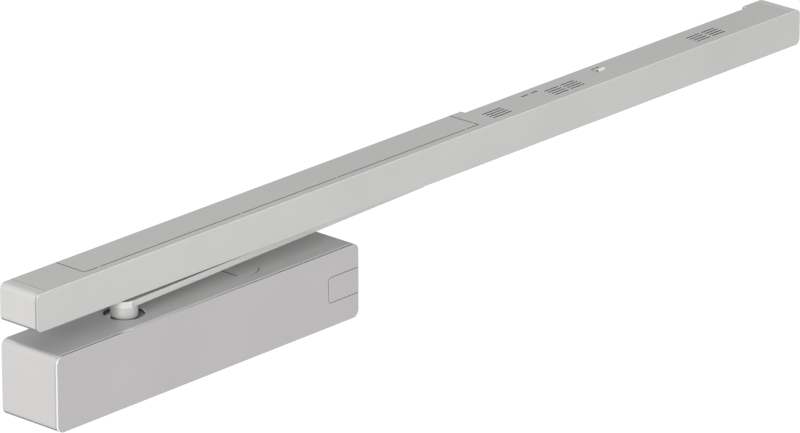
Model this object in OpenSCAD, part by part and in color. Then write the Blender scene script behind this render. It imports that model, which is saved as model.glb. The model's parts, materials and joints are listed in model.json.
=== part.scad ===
// Hold-open door closer: a cam-action closer with a flat arm that runs in a slide rail.
// The back (wall and door) plane is Y = 0 and the object stands out towards -Y. The origin is the
// middle of the rail's fixing holes. The model shows the door closed.

/* [Rail] */
// Length of the rail over its end caps
rail_l = 876; // [866:1:960]
// Height of the rail
rail_h = 30; // [29.5:0.5:34]
// Depth of the rail from the wall
rail_d = 38.2; // [38:0.2:44]
// Thickness of the front cover's sheet
sheet_t = 1.5; // [1.2:0.1:1.8]
// Radius of the front plate's corners
rail_corner_r = 4.6; // [2:0.2:6]
// Length of each end cap along the rail
cap_l = 11.2; // [9:0.2:12]
// Wall of the end caps
cap_wall = 2; // [1.6:0.2:3]
// Thickness of the profile's back wall
back_wall_t = 3; // [2.5:0.1:3.4]
// Thickness of the profile's front wall
front_wall_t = 2; // [1.6:0.1:2.4]
// Thickness of the profile's floor
floor_t = 3; // [2.5:0.1:3.4]
// Radius of the rail's fixing holes
rail_hole_r = 2.75; // [2.2:0.05:2.9]
// Distance of the outer fixing holes from the rail's ends
outer_hole_inset = 20; // [19.2:0.2:21]
// Distance between the two inner fixing holes
inner_hole_span = 110; // [60:2:112]

/* [Rail cover] */
// Left end of the lid in the rail's top, from the rail's left end
lid_x = 58; // [40:1:66]
// Length of the lid
lid_l = 434.3; // [400:0.1:436]
// Depth of the lid from the wall
lid_d = 30.2; // [26:0.1:31]
// Radius of the lid's one round corner
lid_corner_r = 3; // [1:0.5:6]
// Width of the small nibs that bridge the seam round the lid
nib_w = 2; // [1:0.2:4]
// Distance of the recess along the top back edge from the lid's right end
recess_lid_gap = 13.7; // [12:0.1:30]
// Distance of the recess from the rail's right end
recess_end_gap = 27.5; // [27.5:0.5:60]
// Depth of the recess from the wall
recess_d = 4.3; // [4.2:0.1:4.4]
// Height of the recess, down from the rail's top
recess_h = 9.5; // [6:0.5:11]
// Width of one vent slot
vent_w = 1.3; // [0.8:0.1:2]
// Length of one vent slot in the groups of two columns
vent_l = 16.4; // [10:0.2:17]
// Distance between the vent rows
vent_pitch = 3.78; // [3:0.02:3.9]
// Vent rows in each group
vent_rows = 4; // [2:1:4]
// Distance of the first vent row from the wall
vent_d = 17.2; // [16:0.1:18]
// Gap between the two columns of a group
vent_column_gap = 2.4; // [1.6:0.1:4]
// Distance of the first group from the lid's right end
first_vents_gap = 19.7; // [10:0.1:30]
// Length of one vent slot in the first group
first_vent_l = 21.7; // [10:0.1:30]
// Distance of the middle group from the lid's right end
power_vents_gap = 92.7; // [90:0.1:100]
// Distance of the last group's start from the rail's right end
end_vents_inset = 118.3; // [90:0.1:130]

/* [Slide] */
// Distance of the slide's middle line from the wall
slide_d = 19; // [18.6:0.2:20]
// Width of the slide block's head
head_w = 20.2; // [18:0.2:20.6]
// Height of the slide block's head
head_h = 6.7; // [6:0.1:6.8]
// Length of the slide block
block_l = 56; // [50:1:60]
// Length of the slide block's neck
neck_l = 40; // [24:1:44]
// Width of the slot in the rail's floor
slot_w = 14; // [12.6:0.2:15]
// Thickness of the channel's ribs
rib_t = 1.6; // [1.2:0.1:1.8]
// Thickness of the web that closes the channel over the slide block
web_t = 1.4; // [1:0.1:1.6]
// Slide block's middle with the door closed, from the rail's left end
slider_x = 432; // [424:1:434]
// Travel of the slide block towards the hinge side
travel_in = 360; // [300:1:365]
// Travel of the slide block away from the hinge side
travel_out = 20; // [5:1:20]
// Length of each end stop
stop_l = 12; // [8:1:13]
// Length of each rubber buffer
buffer_l = 4; // [2:0.5:5]
// Radius of the pin between slide block and arm
pin_r = 4; // [3:0.1:4.2]

/* [Hold-open] */
// Travel of the slide block from closed to where the catch holds it
hold_travel = 297; // [290:1:300]
// Middle of the catch notch, from the middle of the slide block
notch_x = 17; // [15:0.5:18]
// Length of the catch notch
notch_l = 11; // [10.5:0.5:11]
// Depth of the catch notch
notch_depth = 3.6; // [3.6:0.1:4]
// Distance from the catch's tooth to its pivot
catch_l = 35; // [33:0.5:36]
// Width of the catch
catch_w = 10; // [6:0.5:11]
// Thickness of the catch's bar
catch_t = 4; // [3:0.2:4]
// Radius of the catch's pivot pin
catch_pin_r = 2; // [1.5:0.1:2.2]
// Length of the magnet coil
coil_l = 40; // [30:1:50]
// Radius of the magnet coil's winding
coil_r = 6.3; // [5:0.1:6.3]
// Radius of the plunger
plunger_r = 2.5; // [2:0.1:2.5]
// Length of the hold-open unit's base
base_l = 190; // [186:1:240]
// Thickness of the hold-open unit's base
base_t = 1.4; // [1:0.1:1.6]

/* [Detector] */
// Distance of the electronics tray from the lid's right end
tray_lid_gap = 10.7; // [8:0.1:12]
// Distance of the electronics tray from the rail's right end
tray_end_gap = 27; // [25:0.5:40]
// Thickness of the tray's floor and wall
tray_t = 1.4; // [1:0.1:1.8]
// Thickness of the circuit board
board_t = 1.6; // [1:0.1:2]
// Radius of the smoke chamber
chamber_r = 12.3; // [8:0.1:12.5]
// Distances of the two status lights from the lid's right end
light_gaps = [74.7, 85.9]; // [70:0.1:90]
// Distance of the latch tab's middle from the lid's right end
latch_gap = 160.7; // [140:0.1:200]
// Width of the latch tab in the rail's top
latch_w = 8.2; // [6:0.2:10]
// Travel of the latch tab
latch_travel = 2; // [1:0.1:2.4]
// Gap between the latch tab and its window
latch_seam = 0.4; // [0.3:0.05:0.5]

/* [Closer] */
// Length of the closer
closer_l = 325; // [322:1:345]
// Height of the closer
closer_h = 60; // [60:0.5:64]
// Depth of the closer from the door
closer_d = 58; // [58:0.5:62]
// Radius of the closer's corners, seen from the front
closer_corner_r = 5.9; // [3:0.1:8]
// Gap between the closer's top and the rail
rail_gap = 14; // [13:0.5:18]
// Wall of the cover shell
cover_wall = 2; // [1.5:0.1:2.4]
// Thickness of the front panel
panel_t = 1.6; // [1.4:0.1:2.2]
// Thickness of the mounting plate
plate_t = 4; // [3:0.5:5]
// Gap from the closer's top and bottom to its housing
housing_gap = 3; // [3:0.1:3.5]
// Depth of the closer's housing
housing_d = 50; // [48:0.5:50]
// Distance of the housing's ends from the cover's ends
housing_inset = 13; // [10:0.5:14]
// Radius of the bore for the pistons
bore_r = 19; // [18.8:0.1:19.3]
// Radius of the closer's fixing holes
closer_hole_r = 3.25; // [2.5:0.05:3.5]
// Distance between the closer's fixing holes along its length
closer_hole_span = 230; // [200:1:240]
// Distance between the closer's fixing holes across its height
closer_hole_rise = 36; // [34:0.5:38]
// Length of the bare badge plate
badge_l = 33.5; // [20:0.5:60]
// Height of the bare badge plate
badge_h = 20.2; // [12:0.2:30]
// Middle of the badge plate above the closer's bottom
badge_z = 29.7; // [25:0.1:35]
// Thickness of the badge plate
badge_t = 0.8; // [0.4:0.1:0.9]

/* [Arm and spindle] */
// Distance of the spindle from the closer's left end
spindle_x = 100; // [98:1:104]
// Distance of the spindle from the door
spindle_d = 29; // [28.6:0.2:30]
// Radius of the spindle hole in the cover's top
spindle_hole_r = 15.6; // [14:0.1:17]
// Middle of the cover's second arm hole, from the closer's left end
second_x = 223; // [200:1:240]
// Radius of the cap in the second arm hole
second_r = 15.2; // [12:0.1:17]
// Part of the cap left of its middle, where its flat side is
second_flat = 11.6; // [8:0.1:12]
// Height of the arm above the closer's top
arm_lift = 7; // [6:0.1:7.4]
// Thickness of the arm
arm_t = 5; // [4:0.1:5.5]
// Radius of the arm's round end over the spindle
arm_end_r = 10.6; // [10:0.1:12]
// Radius of the arm's hub
hub_r = 10.45; // [9:0.05:10.55]
// Radius of the arm's end at the slide block
arm_tip_r = 7.4; // [7:0.1:9]
// Side of the spindle's square
square_w = 11; // [9:0.2:11.2]
// Radius of the spindle's journals
journal_r = 8; // [8:0.1:8.2]

/* [Cam drive] */
// Turn of the closer about the spindle that the cam is cut for, in degrees
cam_range = 150; // [120:1:155]
// Stroke of the pistons over that turn
cam_lift = 10; // [8:0.5:10]
// Smallest distance from the spindle to a roller's middle
cam_base = 14.5; // [14.2:0.1:14.6]
// Thickness of the cam
cam_t = 13.6; // [10:0.1:13.8]
// Radius of the rollers
roller_r = 7; // [6.8:0.1:7.2]
// Radius of the roller pins
roller_pin_r = 3; // [2:0.1:3.5]
// Length of the spring piston behind its roller
spring_piston_l = 36; // [30:1:40]
// Length of the damping piston behind its roller
damping_piston_l = 39.5; // [36:0.5:41]
// Radius of the closing spring's wire
wire_r = 2.2; // [1.6:0.1:2.4]
// Middle radius of the closing spring's turns
spring_r = 14.6; // [14:0.1:15]
// Turns of the closing spring
spring_turns = 12; // [8:1:14]
// Thickness of the spring plate
spring_plate_t = 5; // [4:0.5:6]
// Space between the spring plate and the right end plug
spring_plate_room = 11; // [10:0.5:14]
// Radius of the adjusting screw
adjust_r = 4; // [3:0.1:4.5]
// Length of each end plug
plug_l = 12; // [10:0.5:14]
// Radius of the regulating valves
valve_r = 3.5; // [3:0.1:3.5]
// Length of the regulating valves
valve_l = 14; // [8:0.5:14]

/* [Hidden] */
$fn = 48;

// Clearances
seam = 0.4;
slide_gap = 0.3;
run_gap = 0.05;
seat_gap = 0.02;
cam_gap = 0.15;
cut = 1;

// Finishes
satin_silver = [0.76, 0.76, 0.75];
raw_aluminium = [0.66, 0.67, 0.68];
steel = [0.6, 0.6, 0.62];
dark_steel = [0.3, 0.3, 0.32];
black_plastic = [0.08, 0.08, 0.09];
rubber = [0.05, 0.05, 0.05];
copper = [0.72, 0.42, 0.2];
board_green = [0.05, 0.35, 0.15];
block_green = [0.1, 0.4, 0.2];
potting_blue = [0.15, 0.15, 0.2];
relay_white = [0.85, 0.85, 0.8];
light_pale = [0.8, 0.9, 0.8];
brass = [0.75, 0.6, 0.3];

// Rail levels, from the middle of the rail's height
bottom_z = -rail_h / 2;
top_z = rail_h / 2;
roof_z = top_z - sheet_t;
floor_z = bottom_z + floor_t;
head_z = floor_z + slide_gap;
head_top_z = head_z + head_h;
web_z = head_top_z + slide_gap;
deck_z = web_z + web_t;

// Top of the slider's pin, under the top of the slide block
pin_sink = 1.5;
pin_top = head_top_z - pin_sink;

// Rail cover, from the rail's left end
lid_end = lid_x + lid_l;
recess_x = lid_end + recess_lid_gap;
recess_l = rail_l - recess_end_gap - recess_x;
nib_shares = [0.0322, 0.3822, 0.6263, 0.9655];

// Rail depths, from the wall
front_y = -rail_d;
plate_back_y = front_y + sheet_t;
profile_front_y = plate_back_y + seam;
front_inner_y = profile_front_y + front_wall_t;
slide_y = -slide_d;
channel_w = head_w + 2 * slide_gap;
rib_out_w = channel_w + 2 * rib_t;

// Closer levels and depths, from the closer's bottom left corner at the door
closer_x = -rail_l / 2;
closer_z = bottom_z - rail_gap - closer_h;
panel_y = -closer_d;
shell_front_y = panel_y + panel_t + seam;
spindle_y = -spindle_d;
bore_z = closer_h / 2;
housing_h = closer_h - 2 * housing_gap;
housing_bottom = housing_gap;
housing_top = closer_h - housing_gap;
housing_x0 = housing_inset;
housing_x1 = closer_l - housing_inset;
housing_y0 = spindle_y - housing_d / 2;
housing_y1 = -plate_t;
cover_top_in = closer_h - cover_wall;

// Bearing, seal and cap share the height between the bore and the housing's top
bearing_r = 13;
bearing_start = bore_r + 0.3;
bearing_room = housing_h / 2 - bearing_start;
bearing_share = 0.52;
seal_share = 0.17;
bearing_h = bearing_share * bearing_room;
seal_h = seal_share * bearing_room;
bearing_cap_h = bearing_room - bearing_h - seal_h;

// Arm
arm_bottom = closer_h + arm_lift;
arm_dx = slider_x - spindle_x;
arm_dy = spindle_d - slide_d;
arm_len = sqrt(arm_dx * arm_dx + arm_dy * arm_dy);
arm_angle = atan2(arm_dy, arm_dx);
arm_z = closer_z + arm_bottom;
square_rise = 1.5;
square_top = arm_bottom + square_rise;
bush_r = 6;
ring_t = 0.8;
ring_r = pin_r + 2;
ring_lift = 0.7;
ring_z = arm_z + ring_lift;
ring_recess = ring_lift + ring_t + slide_gap;
screw_r = 3;
screw_head_r = 5;
screw_head_h = 2.8;
screw_depth = 12;
screw_sink = 0.3;
screw_seat = arm_bottom + arm_t - screw_head_h - screw_sink;

// Cam drive
cam_bottom = bore_z - cam_t / 2;
fork_h = cam_t + 2 * slide_gap;
fork_reach = 5;
spring_roller_x = spindle_x + cam_base;
damping_roller_x = spindle_x - cam_base - cam_lift;
spring_piston_end = spring_roller_x + spring_piston_l;
damping_piston_end = damping_roller_x - damping_piston_l;
left_plug_face = housing_x0 + plug_l;
right_plug_face = housing_x1 - plug_l;
plate_face_x = right_plug_face - spring_plate_room - spring_plate_t;
boss_r = 11;
boss_l = 6;
piston_r = bore_r - run_gap;
pin_end_gap = 4;
pin_half = bore_r - pin_end_gap;
check_valve_l = 12;
check_valve_r = 4;

// Grooves and rings that seal the end plugs
plug_groove_inset = 2;
plug_groove_w = 2;
plug_groove_depth = 2;
plug_groove_play = 0.1;

// Valves sit in the thick corner of the housing above the bore
valve_drop = 6.2;
valve_z = housing_top - valve_drop;
valve_xs = [33, 51, 69];

// Screws that hold the housing on its plate
body_screw_r = 2.5;
body_screw_head_r = 4;
body_screw_head_h = 4;
body_screw_edge = 4.6;
body_screw_rise = housing_h / 2 - body_screw_edge;
body_screw_inset = 8;

// Hold-open unit, from the rail's left end
catch_play = 2;
catch_x = slider_x - hold_travel + notch_x - catch_play;
window_before = 7;
window_after = 10;
catch_side_gap = 1;
pivot_x = catch_x + catch_l;
pivot_drop = 4.2;
pivot_z = roof_z - pivot_drop;
catch_drop = 1.1;
tooth_l = 6;
tail_l = 10.5;
base_top_z = deck_z + base_t;
ear_t = 2;
ear_gap = 18;
plunger_z = pivot_z - catch_t / 2 - slide_gap - plunger_r;
plunger_gap = 1;
plunger_x = pivot_x + tail_l + plunger_gap;
plunger_out_l = 10;
coil_x = plunger_x + plunger_out_l;
collar_inset = 4.5;
collar_x = plunger_x + collar_inset;
collar_t = 1.2;
base_end_gap = 13.5;
base_x = coil_x + coil_l + base_end_gap - base_l;

// Detector, from the rail's left end
tray_top_z = deck_z + tray_t;
tray_back_gap = 0.4;
tray_back_y = -recess_d - tray_back_gap;
post_h = 2;
board_z = tray_top_z + post_h;
board_top_z = board_z + board_t;
board_y0 = -33;
board_y1 = -7;
tray_x = lid_end + tray_lid_gap;
tray_l = rail_l - tray_end_gap - tray_x;
power_vents_x = lid_end + power_vents_gap;
end_vents_x = rail_l - end_vents_inset;
chamber_x = end_vents_x + vent_l + vent_column_gap / 2;
latch_x = lid_end + latch_gap;
latch_front_d = 18.4;
latch_l = 9.1;
lip_rise = 1.4;
light_xs = [for (gap = light_gaps) lid_end + gap];
light_d = 12.5;
light_l = 7.2;
light_w = 0.9;

// Space along the closed rail for the stops
left_stop_face = slider_x - travel_in - block_l / 2 - slide_gap;
right_stop_face = slider_x + travel_out + block_l / 2 + slide_gap;

// Box between two corners
module slab(lo, hi) {
    translate(lo) cube(hi - lo);
}

// Outline in Y and Z, drawn out along X
module along_x(x0, x1) {
    translate([x0, 0, 0]) rotate([90, 0, 90]) linear_extrude(x1 - x0) children();
}

// Outline in X and Z, drawn out along Y
module along_y(y0, y1) {
    translate([0, y1, 0]) rotate([90, 0, 0]) linear_extrude(y1 - y0) children();
}

// Round bar along X
module rod_x(x0, x1, r) {
    translate([x0, 0, 0]) rotate([0, 90, 0]) cylinder(h = x1 - x0, r = r);
}

// Round bar along Y
module rod_y(y0, y1, r) {
    translate([0, y1, 0]) rotate([90, 0, 0]) cylinder(h = y1 - y0, r = r);
}

// Rectangle with four round corners, between two corner points
module round_rect(lo, hi, r) {
    translate([lo[0] + r, lo[1]]) square([hi[0] - lo[0] - 2 * r, hi[1] - lo[1]]);
    translate([lo[0], lo[1] + r]) square([hi[0] - lo[0], hi[1] - lo[1] - 2 * r]);
    for (x = [lo[0] + r, hi[0] - r])
        for (y = [lo[1] + r, hi[1] - r])
            translate([x, y]) circle(r);
}

// Slot outline with round ends
module slot_outline(x0, x1, w) {
    translate([x0 + w / 2, -w / 2]) square([x1 - x0 - w, w]);
    for (x = [x0 + w / 2, x1 - w / 2]) translate([x, 0]) circle(w / 2);
}

// Frames: lengths from the rail's left end, and from the closer's bottom left corner
module on_rail() {
    translate([-rail_l / 2, 0, 0]) children();
}

module on_closer() {
    translate([closer_x, 0, closer_z]) children();
}

module on_bore() {
    on_closer() translate([0, spindle_y, bore_z]) children();
}

module on_spindle() {
    on_closer() translate([spindle_x, spindle_y, 0]) children();
}

// Wound springs: a tube swept along a helix about the X axis
wire_sides = 6;
function helix_ring(x, angle, r, wire, pitch) =
    let (
        across = [0, cos(angle), sin(angle)],
        ahead = [pitch, -2 * PI * r * sin(angle), 2 * PI * r * cos(angle)],
        side = cross(ahead, across) / norm(ahead),
        middle = [x, r * cos(angle), r * sin(angle)]
    )
    [
        for (i = [0:wire_sides - 1])
            let (a = i * 360 / wire_sides) middle + wire * (cos(a) * across + sin(a) * side)
    ];

module coil_spring(x0, x1, r, wire, turns) {
    rings_a_turn = 8;
    rings = turns * rings_a_turn;
    ring_angle = 360 / rings_a_turn;
    start = x0 + wire + slide_gap;
    length = x1 - x0 - 2 * wire - 2 * slide_gap;
    pitch = length / turns;
    echo(least_gap_between_turns = pitch - 2 * wire);
    points = [
        for (i = [0:rings])
            for (p = helix_ring(start + length * i / rings, i * ring_angle, r, wire, pitch)) p
    ];
    sides = [
        for (i = [0:rings - 1])
            for (j = [0:wire_sides - 1])
                let (a = i * wire_sides + j, b = i * wire_sides + (j + 1) % wire_sides)
                    each [[a, b, b + wire_sides], [a, b + wire_sides, a + wire_sides]]
    ];
    last = rings * wire_sides;
    near_end = [for (j = [1:wire_sides - 2]) [0, j + 1, j]];
    far_end = [for (j = [1:wire_sides - 2]) [last, last + j, last + j + 1]];
    polyhedron(points = points, faces = concat(sides, near_end, far_end));
}

// Rail

module lid_outline(grow) {
    r = lid_corner_r + grow;
    x0 = lid_x - grow;
    y0 = -lid_d - grow;
    width = lid_l + 2 * grow;
    depth = lid_d + 2 * grow;
    translate([x0 + r, y0]) square([width - r, depth]);
    translate([x0, y0 + r]) square([width, depth - r]);
    translate([x0 + r, y0 + r]) circle(r);
}

module rail_section() {
    // Floor on both sides of the slot
    translate([profile_front_y, bottom_z])
        square([slide_y - slot_w / 2 - profile_front_y, floor_t]);
    translate([slide_y + slot_w / 2, bottom_z])
        square([-slide_y - slot_w / 2, floor_t]);
    // Walls
    translate([-back_wall_t, bottom_z]) square([back_wall_t, roof_z - bottom_z]);
    translate([profile_front_y, bottom_z]) square([front_wall_t, roof_z - bottom_z]);
    // Ribs and web that guide the slide block
    for (y = [-rib_out_w / 2, channel_w / 2])
        translate([slide_y + y, bottom_z]) square([rib_t, deck_z - bottom_z]);
    translate([slide_y - rib_out_w / 2, web_z]) square([rib_out_w, web_t]);
}

// Window over the channel for the catch's tooth
module catch_window() {
    half_w = catch_w / 2 + catch_side_gap;
    on_rail() slab([catch_x - window_before, slide_y - half_w, web_z - cut],
                   [catch_x + window_after, slide_y + half_w, base_top_z + cut]);
}

module rail_profile() {
    color(raw_aluminium) difference() {
        on_rail() along_x(cap_l + seam, rail_l - cap_l - seam) rail_section();
        on_rail() slab([recess_x, -back_wall_t - cut, top_z - recess_h],
                       [recess_x + recess_l, cut, top_z]);
        catch_window();
        for (x = [outer_hole_inset - rail_l / 2, -inner_hole_span / 2])
            for (s = [-1, 1])
                translate([s * x, 0, 0]) rod_y(-back_wall_t - cut, cut, rail_hole_r);
    }
}

// One block of vent slots in the rail's top
module vents(x, l, columns) {
    for (row = [0:vent_rows - 1])
        for (column = [0:columns - 1])
            translate([x + column * (l + vent_column_gap), -vent_d - row * vent_pitch,
                       roof_z - cut])
                linear_extrude(sheet_t + 2 * cut) slot_outline(0, l, vent_w);
}

module front_cover() {
    latch_window_w = latch_w + 2 * latch_seam;
    color(satin_silver) on_rail() difference() {
        union() {
            along_y(front_y, plate_back_y)
                round_rect([0, bottom_z], [rail_l, top_z], rail_corner_r);
            slab([cap_l + seam, front_y + sheet_t / 2, roof_z], [rail_l - cap_l - seam, 0, top_z]);
        }
        translate([0, 0, roof_z - cut]) linear_extrude(sheet_t + 2 * cut) lid_outline(seam);
        slab([recess_x, -recess_d, roof_z - cut], [recess_x + recess_l, cut, top_z + cut]);
        vents(lid_end + first_vents_gap, first_vent_l, 1);
        vents(power_vents_x, vent_l, 2);
        vents(end_vents_x, vent_l, 2);
        for (x = light_xs)
            translate([x, -light_d, roof_z - cut]) linear_extrude(sheet_t + 2 * cut)
                slot_outline(-light_l / 2 - seam, light_l / 2 + seam, light_w + 2 * seam);
        slab([latch_x - latch_window_w / 2, -latch_front_d - latch_seam, roof_z - cut],
             [latch_x + latch_window_w / 2, -latch_front_d + latch_l + latch_seam, top_z + cut]);
    }
}

module top_panel() {
    end_nib_inset = 5;
    end_nib_y = -lid_d + end_nib_inset;
    color(satin_silver) on_rail() {
        translate([0, 0, roof_z]) linear_extrude(sheet_t) lid_outline(0);
        for (share = nib_shares)
            slab([lid_x + share * lid_l, -lid_d - seam, roof_z],
                 [lid_x + share * lid_l + nib_w, -lid_d + cut, top_z]);
        slab([lid_end - cut, end_nib_y, roof_z], [lid_end + seam, end_nib_y + nib_w, top_z]);
    }
}

module cap_outline() {
    r = rail_corner_r;
    translate([r, bottom_z]) square([cap_l - r, rail_h]);
    translate([0, bottom_z + r]) square([cap_l, rail_h - 2 * r]);
    for (z = [bottom_z + r, top_z - r]) translate([r, z]) circle(r);
}

// End cap: a moulded shell with a tongue that plugs into the profile
module end_cap() {
    end_wall = 3;
    tongue_l = 8;
    tongue_bottom = -2;
    tongue_top = 8;
    on_rail() {
        difference() {
            along_y(profile_front_y, 0) cap_outline();
            slab([end_wall, front_inner_y, floor_z],
                 [cap_l + cut, -back_wall_t, roof_z - cap_wall]);
        }
        slab([cap_wall, front_inner_y, tongue_bottom],
             [cap_l + tongue_l, front_inner_y + cap_wall, tongue_top]);
    }
}

module left_end_cap() {
    color(satin_silver) end_cap();
}

module right_end_cap() {
    color(satin_silver) mirror([1, 0, 0]) end_cap();
}

// Blocks that fill the channel from x0 to x1
module channel_block(x0, x1) {
    on_rail() slab([x0, slide_y - channel_w / 2, floor_z], [x1, slide_y + channel_w / 2, web_z]);
}

module slide_stops() {
    color(dark_steel) {
        channel_block(left_stop_face - buffer_l - stop_l, left_stop_face - buffer_l);
        channel_block(right_stop_face + buffer_l, right_stop_face + buffer_l + stop_l);
    }
}

module stop_buffers() {
    color(rubber) {
        channel_block(left_stop_face - buffer_l, left_stop_face);
        channel_block(right_stop_face, right_stop_face + buffer_l);
    }
}

// Hold-open unit

module at_pivot() {
    on_rail() translate([pivot_x, slide_y, pivot_z]) children();
}

module hold_open_base() {
    ear_l = 14;
    ear_rise = 3;
    ear_h = pivot_z + ear_rise - base_top_z;
    color(steel) difference() {
        union() {
            on_rail() slab([base_x, slide_y - rib_out_w / 2, deck_z],
                           [base_x + base_l, slide_y + rib_out_w / 2, base_top_z]);
            for (s = [-1, 1])
                on_rail() translate([pivot_x, slide_y + s * (ear_gap + ear_t) / 2, base_top_z])
                    slab([-ear_l / 2, -ear_t / 2, -base_t / 2], [ear_l / 2, ear_t / 2, ear_h]);
        }
        catch_window();
        at_pivot() rod_y(-ear_gap, ear_gap, catch_pin_r + seat_gap);
    }
}

module catch_pin() {
    color(steel) at_pivot() rod_y(-ear_gap / 2 - ear_t, ear_gap / 2 + ear_t, catch_pin_r);
}

module catch_lever() {
    hub_wall = 1.7;
    tooth_bottom = head_top_z + catch_drop - pivot_z;
    color(dark_steel) at_pivot() difference() {
        union() {
            slab([-catch_l - tooth_l / 2, -catch_w / 2, -catch_t / 2],
                 [tail_l, catch_w / 2, catch_t / 2]);
            slab([-catch_l - tooth_l / 2, -catch_w / 2, tooth_bottom],
                 [-catch_l + tooth_l / 2, catch_w / 2, 0]);
            rod_y(-ear_gap / 2 + slide_gap, ear_gap / 2 - slide_gap, catch_pin_r + hub_wall);
        }
        rod_y(-ear_gap, ear_gap, catch_pin_r + run_gap);
    }
}

module on_plunger() {
    on_rail() translate([0, slide_y, plunger_z]) children();
}

module magnet_coil() {
    flange_t = 2;
    flange_w = 19;
    end_wall = 4;
    color(copper) on_plunger() difference() {
        union() {
            rod_x(coil_x, coil_x + coil_l, coil_r);
            for (x = [coil_x, coil_x + coil_l - flange_t])
                slab([x, -flange_w / 2, base_top_z - plunger_z],
                     [x + flange_t, flange_w / 2, coil_r]);
        }
        rod_x(coil_x - cut, coil_x + coil_l - end_wall, plunger_r + run_gap);
    }
}

module magnet_plunger() {
    end_gap = 6;
    collar_wall = 1.6;
    color(steel) on_plunger() {
        rod_x(plunger_x, coil_x + coil_l - end_gap, plunger_r);
        rod_x(collar_x, collar_x + collar_t, plunger_r + collar_wall);
    }
}

module plunger_spring() {
    room = 0.9;
    wire = 0.25;
    turns = 3;
    color(steel) on_plunger()
        coil_spring(collar_x + collar_t, coil_x, plunger_r + room, wire, turns);
}

// Smoke detector and its supply

module electronics_tray() {
    post_r = 2;
    end_inset = 12;
    side_inset = 4;
    color(black_plastic) on_rail() {
        slab([tray_x, front_inner_y, deck_z], [tray_x + tray_l, tray_back_y, tray_top_z]);
        slab([tray_x, tray_back_y - tray_t, deck_z], [tray_x + tray_l, tray_back_y, roof_z]);
        for (x = [tray_x + end_inset, tray_x + tray_l / 2, tray_x + tray_l - end_inset])
            for (y = [board_y0 + side_inset, board_y1 - side_inset])
                translate([x, y, deck_z]) cylinder(h = board_z - deck_z, r = post_r);
    }
}

module circuit_board() {
    end_gap = 5;
    color(board_green) on_rail()
        slab([tray_x + end_gap, board_y0, board_z],
             [tray_x + tray_l - end_gap, board_y1, board_top_z]);
}

// Round chamber with a ring of slots that let air in and keep light out
module smoke_chamber() {
    roof_gap = 0.7;
    chamber_h = roof_z - roof_gap - board_top_z;
    middle_y = (board_y0 + board_y1) / 2;
    end_wall = 2;
    side_wall = 2.4;
    slots = 12;
    inlet_w = 2;
    inlet_reach = 4;
    inlet_end = 3;
    color(black_plastic) on_rail() translate([chamber_x, middle_y, board_top_z]) difference() {
        cylinder(h = chamber_h, r = chamber_r);
        translate([0, 0, end_wall])
            cylinder(h = chamber_h - 2 * end_wall, r = chamber_r - side_wall);
        for (i = [0:slots - 1])
            rotate([0, 0, i * 360 / slots])
                slab([chamber_r - inlet_reach, -inlet_w / 2, inlet_end],
                     [chamber_r + cut, inlet_w / 2, chamber_h - inlet_end]);
    }
}

// Block under the middle vents, with cooling fins
module power_supply() {
    vents_gap = 2;
    x0 = power_vents_x + vents_gap;
    block_len = 32;
    side_gap = 2;
    roof_gap = 0.9;
    fins = 7;
    fin_h = 2;
    fin_t = 2;
    fin_pitch = 4.6;
    fin_inset = 1;
    fin_sink = 0.5;
    block_top = roof_z - roof_gap - fin_h;
    y0 = board_y0 + side_gap;
    y1 = board_y1 - side_gap;
    color(potting_blue) on_rail() {
        slab([x0, y0, board_top_z], [x0 + block_len, y1, block_top]);
        for (i = [0:fins - 1])
            translate([x0 + fin_inset + i * fin_pitch, 0, 0])
                slab([0, y0 + fin_inset, block_top - fin_sink],
                     [fin_t, y1 - fin_inset, block_top + fin_h]);
    }
}

module relay() {
    relay_l = 19;
    relay_w = 10;
    roof_gap = 1.2;
    end_gap = 9;
    side_gap = 6;
    x0 = tray_x + end_gap;
    y0 = board_y0 + side_gap;
    color(relay_white) on_rail()
        slab([x0, y0, board_top_z], [x0 + relay_l, y0 + relay_w, roof_z - roof_gap]);
}

module terminal_block() {
    end_gap = 7;
    block_len = 14;
    block_w = 21;
    roof_gap = 1.7;
    poles = 4;
    pitch = 5;
    hole_r = 1.6;
    hole_depth = 8;
    hole_rise = 4;
    x1 = tray_x + tray_l - end_gap;
    side_gap = 2;
    hole_inset = 3;
    y0 = board_y0 + side_gap;
    color(block_green) on_rail() difference() {
        slab([x1 - block_len, y0, board_top_z], [x1, y0 + block_w, roof_z - roof_gap]);
        for (i = [0:poles - 1])
            translate([0, y0 + hole_inset + i * pitch, board_top_z + hole_rise])
                rod_x(x1 - hole_depth, x1 + cut, hole_r);
    }
}

module status_lights() {
    light_sink = 0.3;
    color(light_pale) on_rail()
        for (x = light_xs)
            slab([x - light_l / 2, -light_d - light_w / 2, board_top_z],
                 [x + light_l / 2, -light_d + light_w / 2, top_z - light_sink]);
}

// Sliding tab in the rail's top, with a raised lip for a fingertip and a foot that closes its window
module cover_latch() {
    foot_side = 2.5;
    foot_w = latch_w + 2 * foot_side;
    foot_t = 1.2;
    foot_reach = latch_travel + 2 * latch_seam;
    tab_l = latch_l - latch_travel;
    lip_w = 1.6;
    color(satin_silver) on_rail() translate([latch_x, -latch_front_d, 0]) {
        slab([-foot_w / 2, -foot_reach, roof_z - seam - foot_t],
             [foot_w / 2, latch_l + latch_seam, roof_z - seam]);
        slab([-latch_w / 2, 0, roof_z - seam - foot_t / 2], [latch_w / 2, tab_l, top_z]);
        slab([-latch_w / 2, 0, roof_z], [latch_w / 2, lip_w, top_z + lip_rise]);
    }
}

// Slide block, pin and ring

module on_slider() {
    on_rail() translate([slider_x, slide_y, 0]) children();
}

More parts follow.
